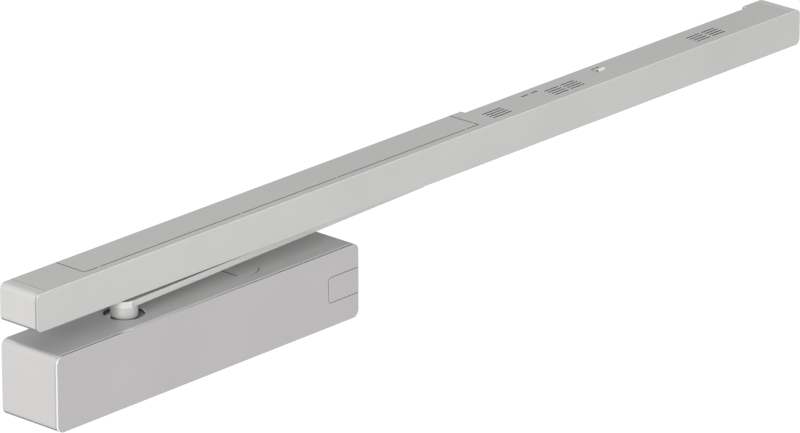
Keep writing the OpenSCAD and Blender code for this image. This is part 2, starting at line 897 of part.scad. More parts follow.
module slide_block() {
    neck_w = slot_w - 2 * slide_gap;
    neck_bottom = arm_z + arm_t + slide_gap;
    color(black_plastic) on_slider() difference() {
        union() {
            slab([-block_l / 2, -head_w / 2, head_z], [block_l / 2, head_w / 2, head_top_z]);
            slab([-neck_l / 2, -neck_w / 2, neck_bottom], [neck_l / 2, neck_w / 2, head_z + cut]);
        }
        translate([0, 0, neck_bottom - cut])
            cylinder(h = pin_top - neck_bottom + cut, r = pin_r + seat_gap);
        slab([notch_x - notch_l / 2, -catch_w / 2 - catch_side_gap, head_top_z - notch_depth],
             [notch_x + notch_l / 2, catch_w / 2 + catch_side_gap, head_top_z + cut]);
    }
}

module slider_pin() {
    groove_gap = 0.05;
    groove_depth = 0.7;
    end_l = 0.6;
    pin_bottom = ring_z - end_l;
    color(steel) on_slider() difference() {
        translate([0, 0, pin_bottom]) cylinder(h = pin_top - pin_bottom, r = pin_r);
        translate([0, 0, ring_z - groove_gap]) difference() {
            cylinder(h = ring_t + 2 * groove_gap, r = pin_r + cut);
            translate([0, 0, -cut]) cylinder(h = ring_t + 2 * cut, r = pin_r - groove_depth);
        }
    }
}

module retaining_ring() {
    gap_w = 4;
    groove_reach = 0.65;
    ring_in_r = pin_r - groove_reach;
    color(dark_steel) on_slider() translate([0, 0, ring_z]) difference() {
        cylinder(h = ring_t, r = ring_r);
        translate([0, 0, -cut]) cylinder(h = ring_t + 2 * cut, r = ring_in_r);
        slab([0, -gap_w / 2, -cut], [ring_r + cut, gap_w / 2, ring_t + cut]);
    }
}

// Arm

module on_arm() {
    on_spindle() rotate([0, 0, arm_angle]) children();
}

// The straight sides cross the two round ends just inside their widest points
module arm_outline() {
    lean = acos((arm_end_r - arm_tip_r) / arm_len);
    side_inset = 0.03;
    near = (arm_end_r - side_inset) * [cos(lean), sin(lean)];
    far = [arm_len, 0] + (arm_tip_r - side_inset) * [cos(lean), sin(lean)];
    circle(arm_end_r);
    translate([arm_len, 0]) circle(arm_tip_r);
    polygon([[near.x, -near.y], [far.x, -far.y], far, near]);
}

module arm() {
    hub_gap = 0.8;
    hub_bottom = housing_top + hub_gap;
    hole_w = square_w + 2 * run_gap;
    hole_gap = 0.2;
    ring_gap = 0.4;
    color(steel) on_arm() difference() {
        union() {
            translate([0, 0, arm_bottom]) linear_extrude(arm_t) arm_outline();
            translate([0, 0, hub_bottom]) cylinder(h = arm_bottom + cut - hub_bottom, r = hub_r);
        }
        slab([-hole_w / 2, -hole_w / 2, hub_bottom - cut],
             [hole_w / 2, hole_w / 2, square_top + hole_gap]);
        translate([0, 0, arm_bottom]) cylinder(h = arm_t + cut, r = screw_r + hole_gap);
        translate([0, 0, screw_seat]) cylinder(h = arm_t + cut, r = screw_head_r + hole_gap);
        translate([arm_len, 0, arm_bottom - cut])
            cylinder(h = arm_t + 2 * cut, r = bush_r + seat_gap);
        translate([arm_len, 0, arm_bottom - cut])
            cylinder(h = ring_recess + cut, r = ring_r + ring_gap);
    }
}

module arm_bush() {
    bush_h = arm_t - ring_recess;
    color(brass) on_arm() translate([arm_len, 0, arm_bottom + ring_recess]) difference() {
        cylinder(h = bush_h, r = bush_r);
        translate([0, 0, -cut]) cylinder(h = bush_h + 2 * cut, r = pin_r + run_gap);
    }
}

module arm_screw() {
    end_gap = 1;
    screw_tip = square_top - screw_depth + end_gap;
    socket_floor = 0.6;
    socket_r = 2.3;
    color(dark_steel) on_arm() difference() {
        union() {
            translate([0, 0, screw_tip]) cylinder(h = screw_seat + cut - screw_tip, r = screw_r);
            translate([0, 0, screw_seat]) cylinder(h = screw_head_h, r = screw_head_r);
        }
        translate([0, 0, screw_seat + socket_floor])
            cylinder(h = screw_head_h, r = socket_r, $fn = 6);
    }
}

// Cam: the rollers' middles follow a curve that climbs evenly on one flank and falls evenly on the
// other, so the two rollers keep the same distance; the profile lies one roller radius inside it.
function cam_share(a) =
    a < -cam_range ? 1 : a <= 0 ? -a / cam_range
    : a <= 180 - cam_range ? 0 : (a - 180 + cam_range) / cam_range;
function turn_within(a) = a > 180 ? a - 360 : a < -180 ? a + 360 : a;
function roller_path(a) = cam_base + cam_lift * cam_share(turn_within(a));
function cam_point(a) =
    let (
        step = 4,
        r = roller_path(a),
        slope = (roller_path(a + step) - roller_path(a - step)) / (2 * step * PI / 180),
        out = [r * cos(a) + slope * sin(a), r * sin(a) - slope * cos(a)]
    )
    r * [cos(a), sin(a)] - (roller_r + cam_gap) * out / norm(out);

module cam_shaft() {
    cam_step = 3;
    shoulder_rise = 0.5;
    shoulder = housing_top + shoulder_rise;
    foot_gap = 0.2;
    foot = bore_z - bearing_start - bearing_h + foot_gap;
    color(steel) on_spindle() difference() {
        union() {
            translate([0, 0, foot]) cylinder(h = shoulder - foot, r = journal_r);
            translate([0, 0, cam_bottom]) linear_extrude(cam_t)
                polygon([for (a = [-180:cam_step:180 - cam_step]) cam_point(a)]);
            rotate([0, 0, arm_angle])
                slab([-square_w / 2, -square_w / 2, shoulder - cut],
                     [square_w / 2, square_w / 2, square_top]);
        }
        // Seats of the rollers at both ends of the flanks
        for (a = [0, 180 - cam_range])
            translate([cam_base * cos(a), cam_base * sin(a), cam_bottom - seat_gap])
                cylinder(h = cam_t + 2 * seat_gap, r = roller_r + cam_gap);
        translate([0, 0, square_top - screw_depth]) cylinder(h = screw_depth + cut,
                                                           r = screw_r + seat_gap);
    }
}

// Closer housing and what seals it

module fixing_hole_places() {
    for (x = [-1, 1])
        for (z = [-1, 1])
            translate([closer_l / 2 + x * closer_hole_span / 2, 0,
                       bore_z + z * closer_hole_rise / 2])
                children();
}

module body_screw_places() {
    for (x = [housing_x0 + body_screw_inset, housing_x1 - body_screw_inset])
        for (z = [-1, 1]) translate([x, 0, bore_z + z * body_screw_rise]) children();
}

module mounting_plate() {
    cover_gap = 0.1;
    inset = cover_wall + cover_gap;
    color(raw_aluminium) on_closer() difference() {
        along_y(-plate_t, 0)
            round_rect([inset, inset], [closer_l - inset, closer_h - inset],
                       closer_corner_r - inset);
        fixing_hole_places() rod_y(-plate_t - cut, cut, closer_hole_r);
        body_screw_places() rod_y(-plate_t - cut, cut, body_screw_r + seat_gap);
    }
}

module closer_housing() {
    housing_corner_r = 6;
    shaft_room = 1;
    valve_room = 0.5;
    head_room = 0.2;
    pocket_depth = 8;
    pocket_r = 5.5;
    color(raw_aluminium) on_closer() difference() {
        along_x(housing_x0, housing_x1)
            round_rect([housing_y0, housing_bottom], [housing_y1, housing_top],
                       housing_corner_r);
        translate([0, spindle_y, bore_z]) rod_x(housing_x0 - cut, housing_x1 + cut, bore_r);
        // Seats of the bearings, and room for the shaft
        translate([spindle_x, spindle_y, housing_bottom - cut])
            cylinder(h = housing_h + 2 * cut, r = journal_r + shaft_room);
        translate([spindle_x, spindle_y, bore_z + bearing_start])
            cylinder(h = housing_h, r = bearing_r + seat_gap);
        translate([spindle_x, spindle_y, bore_z - bearing_start - housing_h])
            cylinder(h = housing_h, r = bearing_r + seat_gap);
        for (x = valve_xs)
            translate([x, 0, valve_z])
                rod_y(housing_y0 - cut, housing_y0 + valve_l + valve_room, valve_r + run_gap);
        body_screw_places() rod_y(housing_y0 - cut, 0, body_screw_r + seat_gap);
        body_screw_places()
            rod_y(housing_y0 - cut, housing_y0 + body_screw_head_h,
                  body_screw_head_r + head_room);
        fixing_hole_places() rod_y(housing_y1 - pocket_depth, 0, pocket_r);
    }
}

module body_screws() {
    sink = 0.5;
    socket_depth = 3;
    socket_r = 2.2;
    head_seat_y = housing_y0 + body_screw_head_h;
    color(dark_steel) on_closer() body_screw_places() difference() {
        union() {
            rod_y(head_seat_y - sink, -sink, body_screw_r);
            rod_y(housing_y0 + sink, head_seat_y, body_screw_head_r);
        }
        rod_y(housing_y0, housing_y0 + socket_depth, socket_r, $fn = 6);
    }
}

// Ring about the spindle, its bottom at height z above the closer's bottom
module spindle_ring(z, h, r_out, r_in) {
    on_spindle() translate([0, 0, z]) difference() {
        cylinder(h = h, r = r_out);
        translate([0, 0, -cut]) cylinder(h = h + 2 * cut, r = r_in);
    }
}

module upper_bearing() {
    color(steel)
        spindle_ring(bore_z + bearing_start, bearing_h, bearing_r, journal_r + run_gap);
}

module lower_bearing() {
    color(steel)
        spindle_ring(bore_z - bearing_start - bearing_h, bearing_h, bearing_r,
                     journal_r + run_gap);
}

module shaft_seal() {
    color(rubber)
        spindle_ring(bore_z + bearing_start + bearing_h, seal_h, bearing_r, journal_r + run_gap);
}

module upper_bearing_cap() {
    shaft_gap = 0.3;
    key_hole_r = 1;
    key_hole_depth = 1;
    key_hole_x = 10.6;
    color(steel) difference() {
        spindle_ring(housing_top - bearing_cap_h, bearing_cap_h, bearing_r,
                     journal_r + shaft_gap);
        for (s = [-1, 1])
            on_spindle() translate([s * key_hole_x, 0, housing_top - key_hole_depth])
                cylinder(h = key_hole_depth + cut, r = key_hole_r);
    }
}

module lower_bearing_cap() {
    bearing_gap = 0.1;
    socket_r = 5;
    socket_depth = 1.2;
    color(steel) on_spindle() translate([0, 0, housing_bottom]) difference() {
        cylinder(h = bearing_cap_h + seal_h - bearing_gap, r = bearing_r);
        translate([0, 0, -cut]) cylinder(h = cut + socket_depth, r = socket_r, $fn = 6);
    }
}

// Round groove for a seal, cut into a plug from x0 on
module seal_groove(x0) {
    x1 = x0 + plug_groove_w;
    difference() {
        rod_x(x0, x1, bore_r + cut);
        rod_x(x0 - cut, x1 + cut, bore_r - plug_groove_depth);
    }
}

module left_end_plug() {
    socket_depth = 5;
    socket_r = 6;
    color(steel) on_bore() difference() {
        rod_x(housing_x0, left_plug_face, bore_r - seat_gap);
        seal_groove(left_plug_face - plug_groove_inset - plug_groove_w);
        rod_x(housing_x0 - cut, housing_x0 + socket_depth, socket_r, $fn = 6);
    }
}

module right_end_plug() {
    color(steel) on_bore() difference() {
        rod_x(right_plug_face, housing_x1, bore_r - seat_gap);
        seal_groove(right_plug_face + plug_groove_inset);
        rod_x(right_plug_face - cut, housing_x1 + cut, adjust_r + run_gap);
    }
}

module plug_seals() {
    seal_w = plug_groove_w - 2 * plug_groove_play;
    color(rubber) on_bore()
        for (x = [left_plug_face - plug_groove_inset - plug_groove_w,
                  right_plug_face + plug_groove_inset])
            translate([x + plug_groove_play, 0, 0]) difference() {
                rod_x(0, seal_w, bore_r - seat_gap);
                rod_x(-cut, seal_w + cut, bore_r - plug_groove_depth + plug_groove_play);
            }
}

// Pistons. dir is 1 for a piston to the right of the spindle and -1 to the left
module piston(roller_x, end_x, dir) {
    slot_room = 2.5;
    fork_x = roller_x - dir * fork_reach;
    slot_x = roller_x + dir * (roller_r + slot_room);
    color(raw_aluminium) on_bore() difference() {
        rod_x(min(fork_x, end_x), max(fork_x, end_x), piston_r);
        slab([min(fork_x - dir * cut, slot_x), -bore_r - cut, -fork_h / 2],
             [max(fork_x - dir * cut, slot_x), bore_r + cut, fork_h / 2]);
        translate([roller_x, 0, -pin_half])
            cylinder(h = 2 * pin_half, r = roller_pin_r + seat_gap);
        children();
    }
}

module piston_pin(roller_x) {
    color(steel) on_bore() translate([roller_x, 0, -pin_half])
        cylinder(h = 2 * pin_half, r = roller_pin_r);
}

module roller(roller_x) {
    color(steel) on_bore() translate([roller_x, 0, -cam_t / 2]) difference() {
        cylinder(h = cam_t, r = roller_r);
        translate([0, 0, -cut]) cylinder(h = cam_t + 2 * cut, r = roller_pin_r + run_gap);
    }
}

module spring_piston() {
    piston(spring_roller_x, spring_piston_end, 1);
    color(raw_aluminium) on_bore()
        rod_x(spring_piston_end - cut, spring_piston_end + boss_l, boss_r);
}

module spring_roller() {
    roller(spring_roller_x);
}

module spring_roller_pin() {
    piston_pin(spring_roller_x);
}

module closing_spring() {
    color(dark_steel) on_bore()
        coil_spring(spring_piston_end, plate_face_x, spring_r, wire_r, spring_turns);
}

module spring_plate() {
    rim_w = 0.7;
    color(steel) on_bore() difference() {
        union() {
            rod_x(plate_face_x, plate_face_x + spring_plate_t, spring_r + wire_r + rim_w);
            rod_x(plate_face_x - boss_l, plate_face_x + cut, boss_r);
        }
        rod_x(plate_face_x - boss_l - cut, plate_face_x + spring_plate_t + cut,
              adjust_r + run_gap);
    }
}

module adjusting_screw() {
    tip_reach = 22;
    flange_t = 2;
    flange_x1 = right_plug_face - slide_gap;
    socket_depth = 5;
    socket_r = 2.4;
    color(dark_steel) on_bore() difference() {
        union() {
            rod_x(plate_face_x - tip_reach, housing_x1, adjust_r);
            rod_x(flange_x1 - flange_t, flange_x1, 2 * adjust_r);
        }
        rod_x(housing_x1 - socket_depth, housing_x1 + cut, socket_r, $fn = 6);
    }
}

module damping_piston() {
    piston(damping_roller_x, damping_piston_end, -1)
        rod_x(damping_piston_end - cut, damping_piston_end + check_valve_l,
              check_valve_r + seat_gap);
}

module damping_roller() {
    roller(damping_roller_x);
}

module damping_roller_pin() {
    piston_pin(damping_roller_x);
}

module damping_spring() {
    turn_r = 11;
    wire = 0.8;
    turns = 3;
    color(steel) on_bore()
        coil_spring(left_plug_face, damping_piston_end, turn_r, wire, turns);
}

module check_valve() {
    hole_depth = 8;
    hole_r = 1.2;
    color(brass) on_bore() difference() {
        rod_x(damping_piston_end, damping_piston_end + check_valve_l, check_valve_r);
        rod_x(damping_piston_end - cut, damping_piston_end + hole_depth, hole_r);
    }
}

// Regulating screw with a slot for a screwdriver
module valve(x) {
    slot_depth = 1.5;
    slot_t = 1;
    color(brass) on_closer() translate([x, housing_y0, valve_z]) difference() {
        rod_y(0, valve_l, valve_r);
        slab([-valve_r - cut, -cut, -slot_t / 2], [valve_r + cut, slot_depth, slot_t / 2]);
    }
}

module closing_valve() {
    valve(valve_xs[0]);
}

module latching_valve() {
    valve(valve_xs[1]);
}

module backcheck_valve() {
    valve(valve_xs[2]);
}

// Closer covers

// Round cap with one flat side, from height z0 to z1
module second_hole(z0, z1, grow) {
    r = second_r + grow;
    translate([second_x, spindle_y, 0]) intersection() {
        translate([0, 0, z0]) cylinder(h = z1 - z0, r = r);
        slab([-second_flat - grow, -r - cut, z0 - cut], [r + cut, r + cut, z1 + cut]);
    }
}

module cover_shell() {
    inner_r = closer_corner_r - cover_wall;
    color(satin_silver) on_closer() difference() {
        along_y(shell_front_y, 0) round_rect([0, 0], [closer_l, closer_h], closer_corner_r);
        along_y(shell_front_y - cut, cut)
            round_rect([cover_wall, cover_wall], [closer_l - cover_wall, cover_top_in], inner_r);
        translate([spindle_x, spindle_y, cover_top_in - cut])
            cylinder(h = cover_wall + 2 * cut, r = spindle_hole_r);
        second_hole(cover_top_in - cut, closer_h + cut, seam);
    }
}

module badge_outline(grow) {
    badge_corner_r = 3;
    r = badge_corner_r + grow;
    x0 = closer_l - badge_l - grow;
    z0 = badge_z - badge_h / 2 - grow;
    height = badge_h + 2 * grow;
    translate([x0 + r, z0]) square([badge_l + grow - r, height]);
    translate([x0, z0 + r]) square([badge_l + grow, height - 2 * r]);
    for (z = [z0 + r, z0 + height - r]) translate([x0 + r, z]) circle(r);
}

module front_panel() {
    lug_l = 30;
    lug_inset = 30;
    lug_depth = 1.8;
    lug_t = 2;
    lug_gap = 0.2;
    color(satin_silver) on_closer() {
        difference() {
            along_y(panel_y, panel_y + panel_t)
                round_rect([0, 0], [closer_l, closer_h], closer_corner_r);
            along_y(panel_y - cut, panel_y + badge_t) {
                badge_outline(seam);
                translate([closer_l, badge_z - badge_h / 2 - seam])
                    square([cut, badge_h + 2 * seam]);
            }
        }
        for (x = [lug_inset, closer_l - lug_inset - lug_l])
            for (z = [cover_wall + lug_gap, cover_top_in - lug_gap - lug_t])
                slab([x, panel_y + panel_t - cut / 2, z],
                     [x + lug_l, panel_y + panel_t + lug_depth, z + lug_t]);
    }
}

module badge_plate() {
    color(satin_silver) on_closer() along_y(panel_y, panel_y + badge_t) badge_outline(0);
}

module position_cap() {
    lip_w = 1.8;
    lip_overlap = 0.5;
    color(satin_silver) on_closer() {
        second_hole(housing_top + seam, cover_top_in - run_gap, lip_w);
        second_hole(cover_top_in - lip_overlap, closer_h, 0);
    }
}

rail_profile();
front_cover();
top_panel();
left_end_cap();
right_end_cap();
slide_stops();
stop_buffers();
hold_open_base();
magnet_coil();
catch_pin();
catch_lever();
magnet_plunger();
plunger_spring();
electronics_tray();
circuit_board();
smoke_chamber();
power_supply();
relay();
terminal_block();
status_lights();
cover_latch();
slide_block();
slider_pin();
retaining_ring();
arm();
arm_bush();
arm_screw();
cam_shaft();
mounting_plate();
closer_housing();
body_screws();
upper_bearing();
lower_bearing();
shaft_seal();
upper_bearing_cap();
lower_bearing_cap();
left_end_plug();
right_end_plug();
plug_seals();
spring_piston();
spring_roller();
spring_roller_pin();
closing_spring();
spring_plate();
adjusting_screw();
damping_piston();
damping_roller();
damping_roller_pin();
damping_spring();
check_valve();
closing_valve();
latching_valve();
backcheck_valve();
cover_shell();
front_panel();
badge_plate();
position_cap();
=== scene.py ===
"""Looks for a hold-open door closer: eased covers, satin metal, springs, a studio and the camera."""

import json
import math

import bmesh
import bpy
from mathutils import Matrix, Vector


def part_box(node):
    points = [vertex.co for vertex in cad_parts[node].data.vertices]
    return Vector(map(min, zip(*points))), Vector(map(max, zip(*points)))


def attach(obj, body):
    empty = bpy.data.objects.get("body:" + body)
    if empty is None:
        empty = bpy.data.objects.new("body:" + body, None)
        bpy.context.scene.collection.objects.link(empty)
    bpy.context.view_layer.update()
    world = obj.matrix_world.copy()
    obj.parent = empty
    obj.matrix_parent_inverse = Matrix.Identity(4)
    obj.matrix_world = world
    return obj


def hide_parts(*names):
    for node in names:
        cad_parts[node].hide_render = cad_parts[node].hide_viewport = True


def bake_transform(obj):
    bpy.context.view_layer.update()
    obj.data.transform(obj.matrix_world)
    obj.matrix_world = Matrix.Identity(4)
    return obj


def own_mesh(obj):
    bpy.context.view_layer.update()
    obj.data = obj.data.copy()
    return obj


MM = 0.001

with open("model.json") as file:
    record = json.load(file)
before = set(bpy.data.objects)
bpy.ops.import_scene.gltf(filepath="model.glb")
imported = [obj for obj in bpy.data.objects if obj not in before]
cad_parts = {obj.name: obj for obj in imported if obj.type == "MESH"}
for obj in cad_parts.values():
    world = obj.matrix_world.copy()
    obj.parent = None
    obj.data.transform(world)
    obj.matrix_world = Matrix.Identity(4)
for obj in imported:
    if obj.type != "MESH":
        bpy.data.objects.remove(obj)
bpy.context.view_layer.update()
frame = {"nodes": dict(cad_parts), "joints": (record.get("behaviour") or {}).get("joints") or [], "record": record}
nodes = frame["nodes"]
slot_of = {part["node"]: part["material_slot"] for part in frame["record"]["subparts"]}
body_of = {
    node: body
    for body, members in frame["record"]["behaviour"]["bodies"].items()
    for node in members
}

# Camera

# Fitted to straight edges in the photograph. The camera's place is counted from the closer's
# lower left corner at the wall.
VIEW_AZIMUTH = math.radians(-47.675)
VIEW_ELEVATION = math.radians(20.463)
VIEW_DISTANCE = 5.41734
VIEW_RIGHT = 0.293265
VIEW_UP = 0.146163
VIEW_CORNER = Vector((-0.438, 0, -0.089))
SENSOR_W = 36.0
FOCAL_PIXELS = 7346.329
IMAGE_W = 800
CLIP_START = 0.1
CLIP_END = 50


def make_camera():
    ca, sa = math.cos(VIEW_AZIMUTH), math.sin(VIEW_AZIMUTH)
    ce, se = math.cos(VIEW_ELEVATION), math.sin(VIEW_ELEVATION)
    right = Vector((ca, sa, 0))
    up = Vector((-sa * se, ca * se, ce))
    back = Vector((sa * ce, -ca * ce, se))
    data = bpy.data.cameras.new("camera")
    data.sensor_width = SENSOR_W
    data.lens = FOCAL_PIXELS * SENSOR_W / IMAGE_W
    data.clip_start = CLIP_START
    data.clip_end = CLIP_END
    camera = bpy.data.objects.new("camera", data)
    camera.matrix_world = Matrix((right, up, back)).transposed().to_4x4()
    camera.location = back * VIEW_DISTANCE + right * VIEW_RIGHT + up * VIEW_UP + VIEW_CORNER
    bpy.context.scene.collection.objects.link(camera)
    bpy.context.scene.camera = camera


# Materials

# Noise lies mostly between these values
NOISE_LOW = 0.3
NOISE_HIGH = 0.7


class Nodes:
    """A material's node tree, with short calls that make and join nodes."""

    def __init__(self, name):
        self.material = bpy.data.materials.new(name)
        self.material.use_nodes = True
        self.tree = self.material.node_tree
        self.tree.nodes.clear()
        self.output = self.add("ShaderNodeOutputMaterial")

    def add(self, kind, **settings):
        node = self.tree.nodes.new(kind)
        for key, value in settings.items():
            setattr(node, key, value)
        return node

    def join(self, source, target):
        self.tree.links.new(source, target)

    def place(self, stretch):
        """The piece's own coordinates, squeezed along each axis by stretch."""
        coordinates = self.add("ShaderNodeTexCoord")
        mapping = self.add("ShaderNodeMapping")
        mapping.inputs["Scale"].default_value = stretch
        self.join(coordinates.outputs["Object"], mapping.inputs["Vector"])
        return mapping.outputs["Vector"]

    def noise(self, where, scale, detail):
        node = self.add("ShaderNodeTexNoise")
        node.inputs["Scale"].default_value = scale
        node.inputs["Detail"].default_value = detail
        self.join(where, node.inputs["Vector"])
        return node.outputs["Fac"]

    def spread(self, value, low, high):
        """value, with the range where noise lies spread to low..high."""
        node = self.add("ShaderNodeMapRange")
        node.inputs["From Min"].default_value = NOISE_LOW
        node.inputs["From Max"].default_value = NOISE_HIGH
        node.inputs["To Min"].default_value = low
        node.inputs["To Max"].default_value = high
        self.join(value, node.inputs["Value"])
        return node.outputs["Result"]

    def tint(self, value, colour, change):
        """colour, lighter and darker by change as value goes from 1 to 0."""
        mix = self.add("ShaderNodeMix", data_type="RGBA")
        mix.inputs["A"].default_value = (*[c * (1 - change) for c in colour], 1)
        mix.inputs["B"].default_value = (*[min(c * (1 + change), 1) for c in colour], 1)
        self.join(self.spread(value, 0, 1), mix.inputs["Factor"])
        return mix.outputs["Result"]

    def bump(self, height, distance, strength):
        node = self.add("ShaderNodeBump")
        node.inputs["Strength"].default_value = strength
        node.inputs["Distance"].default_value = distance
        self.join(height, node.inputs["Height"])
        return node.outputs["Normal"]

    def principled(self, **values):
        shader = self.add("ShaderNodeBsdfPrincipled")
        for key, value in values.items():
            shader.inputs[key.replace("_", " ")].default_value = value
        self.join(shader.outputs["BSDF"], self.output.inputs["Surface"])
        return shader


# How a texture is squeezed along each axis: not at all, or so that it is drawn out along X
EVEN = (1, 1, 1)
ALONG_X = (0.02, 1, 1)


def metal(name, colour, roughness, metallic=1.0, grain=2400, stretch=EVEN, depth=0.02,
          change=0.02, uneven=0.05, specular=0.5):
    """Metal with fine grain: bead-blasted where stretch is even, drawn or brushed where it isn't."""
    n = Nodes(name)
    even = n.place(EVEN)
    fine = n.noise(n.place(stretch), scale=grain, detail=4)
    broad = n.noise(even, scale=14, detail=2)
    shader = n.principled(Metallic=metallic, Specular_IOR_Level=specular)
    n.join(n.tint(broad, colour, change), shader.inputs["Base Color"])
    rough = n.add("ShaderNodeMath", operation="ADD")
    n.join(n.spread(fine, roughness - uneven, roughness + uneven), rough.inputs[0])
    n.join(n.spread(broad, -uneven / 3, uneven / 3), rough.inputs[1])
    n.join(rough.outputs["Value"], shader.inputs["Roughness"])
    n.join(n.bump(fine, distance=depth * MM, strength=0.35), shader.inputs["Normal"])
    return n.material


def plastic(name, colour, roughness, grain=700, depth=0.03, coat=0.0):
    """Moulded plastic or rubber with a fine spark-eroded texture."""
    uneven = 0.06
    n = Nodes(name)
    even = n.place(EVEN)
    fine = n.noise(even, scale=grain, detail=5)
    broad = n.noise(even, scale=30, detail=2)
    shader = n.principled(Coat_Weight=coat, Coat_Roughness=0.15)
    n.join(n.tint(broad, colour, change=0.05), shader.inputs["Base Color"])
    n.join(n.spread(fine, roughness - uneven, roughness + uneven), shader.inputs["Roughness"])
    n.join(n.bump(fine, distance=depth * MM, strength=0.4), shader.inputs["Normal"])
    return n.material


def winding(name, colour):
    """Enamelled wire wound about X under clear tape."""
    n = Nodes(name)
    wave = n.add("ShaderNodeTexWave", wave_type="BANDS", bands_direction="X")
    wave.inputs["Scale"].default_value = 320
    wave.inputs["Distortion"].default_value = 0.4
    n.join(n.place(EVEN), wave.inputs["Vector"])
    shader = n.principled(Metallic=0.7, Roughness=0.3, Coat_Weight=0.6, Coat_Roughness=0.1)
    n.join(n.tint(wave.outputs["Fac"], colour, change=0.3), shader.inputs["Base Color"])
    n.join(n.bump(wave.outputs["Fac"], distance=0.15 * MM, strength=0.8), shader.inputs["Normal"])
    return n.material


def board(name, colour):
    """Green solder mask over fine copper tracks."""
    darker = [c * 0.8 for c in colour]
    tracks = [min(c * 1.7 + 0.02, 1) for c in colour]
    n = Nodes(name)
    brick = n.add("ShaderNodeTexBrick")
    brick.inputs["Scale"].default_value = 260
    brick.inputs["Mortar Size"].default_value = 0.03
    brick.inputs["Color1"].default_value = (*colour, 1)
    brick.inputs["Color2"].default_value = (*darker, 1)
    brick.inputs["Mortar"].default_value = (*tracks, 1)
    n.join(n.place(EVEN), brick.inputs["Vector"])
    shader = n.principled(Roughness=0.35, Coat_Weight=0.4, Coat_Roughness=0.1)
    n.join(brick.outputs["Color"], shader.inputs["Base Color"])
    n.join(n.bump(brick.outputs["Fac"], distance=0.05 * MM, strength=0.5), shader.inputs["Normal"])
    return n.material


def clear_pipe(name, colour):
    """Smoked clear plastic, its colour slightly uneven."""
    n = Nodes(name)
    fine = n.noise(n.place(EVEN), scale=400, detail=2)
    shader = n.principled(Roughness=0.15, Transmission_Weight=0.5, IOR=1.49)
    n.join(n.tint(fine, colour, change=0.08), shader.inputs["Base Color"])
    return n.material


SILVER = (0.572, 0.568, 0.556)
# The rail's satin aluminium painted darker for its tops: painted shade, as less light falls on them
SHADED_ROOF_SILVER = (0.545, 0.538, 0.532)
SILVER_CAP = (0.6, 0.595, 0.585)
CLOSER_SILVER = (0.585, 0.575, 0.57)
# The closer's top, darker than its cover: painted shade from the rail above it
SHADED_TOP_SILVER = (0.43, 0.433, 0.427)
PANEL_SILVER = (0.5, 0.487, 0.49)
# Near-white for the front cover's eased edges and the latch's lip: a painted highlight
HIGHLIGHT_SILVER = (0.92, 0.92, 0.92)

# One finish for each material slot
FINISHES = {
    "satin_aluminium": metal("satin_aluminium", SILVER, 0.4, metallic=0.25, specular=0.25,
                             depth=0.012),
    "cap_silver": metal("cap_silver", SILVER_CAP, 0.42, metallic=0.25, specular=0.25, grain=5200,
                        depth=0.02),
    "raw_aluminium": metal("raw_aluminium", (0.56, 0.57, 0.58), 0.42, metallic=0.6, stretch=ALONG_X,
                           depth=0.04, uneven=0.09, change=0.05),
    "arm_steel": metal("arm_steel", (0.6, 0.595, 0.585), 0.4, metallic=0.25, grain=4200, depth=0.015),
    "steel": metal("steel", (0.44, 0.44, 0.46), 0.36, stretch=ALONG_X, depth=0.03, uneven=0.08),
    "dark_steel": metal("dark_steel", (0.09, 0.09, 0.1), 0.38, metallic=0.9, depth=0.03,
                        change=0.12),
    "brass": metal("brass", (0.62, 0.43, 0.17), 0.28, depth=0.02, change=0.06),
    "black_rubber": plastic("black_rubber", (0.02, 0.02, 0.02), 0.75, grain=500, depth=0.06),
    "black_plastic": plastic("black_plastic", (0.025, 0.025, 0.028), 0.5),
    "copper_coil": winding("copper_coil", (0.55, 0.22, 0.08)),
    "board_green": board("board_green", (0.02, 0.12, 0.04)),
    "component_dark": plastic("component_dark", (0.03, 0.03, 0.045), 0.4, grain=300),
    "relay_white": plastic("relay_white", (0.75, 0.75, 0.7), 0.35, coat=0.3),
    "light_pipe": clear_pipe("light_pipe", (0.05, 0.055, 0.05)),
}
# Finishes of single pieces and of their edges, most of them painted highlights and painted shade
# The rail's up-facing faces and its lid, darker than the rest of the cover: painted shade on the tops
SHADED_ROOF = metal("roof", SHADED_ROOF_SILVER, 0.4, metallic=0.25, specular=0.25, depth=0.012)
CLOSER_COVER = metal("closer_cover", CLOSER_SILVER, 0.3, metallic=0.35, specular=0.25, grain=5200,
                     depth=0.004, uneven=0.02)
# The closer's top and the cap in it, painted darker than the cover: painted shade from the rail overhead
SHADED_CLOSER_TOP = metal("shaded_closer_top", SHADED_TOP_SILVER, 0.4, metallic=0.1, specular=0.25, grain=5200,
                   depth=0.002, uneven=0.01)
CLOSER_PANEL = metal("closer_panel", PANEL_SILVER, 0.36, metallic=0.25, specular=0.25, grain=4200,
                     depth=0.008)
# The front cover's eased edges and the latch's lip, much lighter than the cover: painted highlights
EDGE_HIGHLIGHT = metal("edge_highlight", HIGHLIGHT_SILVER, 0.3, metallic=0.6, grain=5200, depth=0.008)
POLISHED_EDGE = metal("polished_edge", (0.9, 0.9, 0.9), 0.14, grain=5200, depth=0.004, uneven=0.02)
# Polished like the panel's sides, but painted darker: painted shade that darkens its reflection into a dark line
# along the panel's top
SHADED_POLISHED_TOP = metal("shaded_polished_top", (0.8, 0.8, 0.8), 0.08, grain=5200, depth=0.002, uneven=0.02)
# Near-black on the walls of the seams and openings in the covers and round the cap: painted shade in them
SEAM_SHADE = metal("seam_shade", (0.04, 0.04, 0.04), 0.5, metallic=0.5, specular=0.2)
SHADOW_GAP = metal("shadow_gap", (0.13, 0.13, 0.13), 0.5, metallic=0.5, specular=0.2)
# Dark grey on faces that look down, rounded edges too: painted shade under the covers and caps
UNDERSIDE_SHADE = metal("underside", (0.3, 0.3, 0.3), 0.5, metallic=0.25, specular=0.2)
